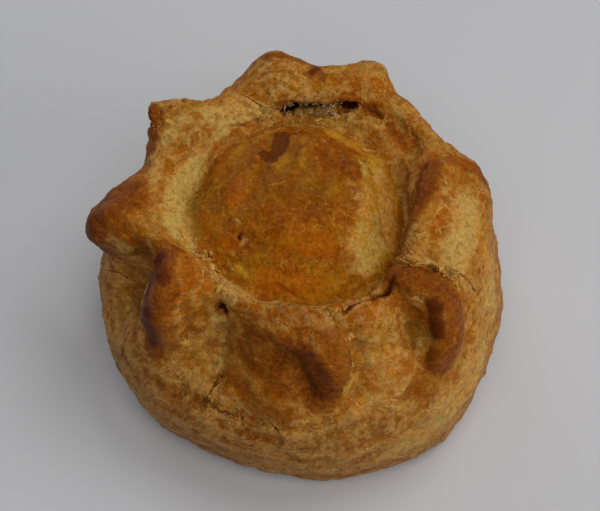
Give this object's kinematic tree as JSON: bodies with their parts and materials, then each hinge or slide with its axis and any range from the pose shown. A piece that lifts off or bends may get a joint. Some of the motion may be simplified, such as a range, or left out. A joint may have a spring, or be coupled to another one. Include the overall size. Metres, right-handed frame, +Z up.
{
  "type": "pork pie",
  "caption": "Whole hand-raised pork pie with bowed hot-water-crust walls, finger-pinched crimps round the rim and a low domed lid.",
  "frame": {"origin": "on the flat underside, on the axis that the pie was raised round", "axes": "+Z up through the lid, +X to the right and -Y to the front, where three folds of the rim hang down"},
  "size_m": [0.0812, 0.079, 0.044],
  "materials": {
    "crust": "baked golden-brown pastry with a thin egg glaze, semi-matt"
  },
  "bodies": {
    "root": {"pork_pie": "crust"}
  },
  "joints": []
}
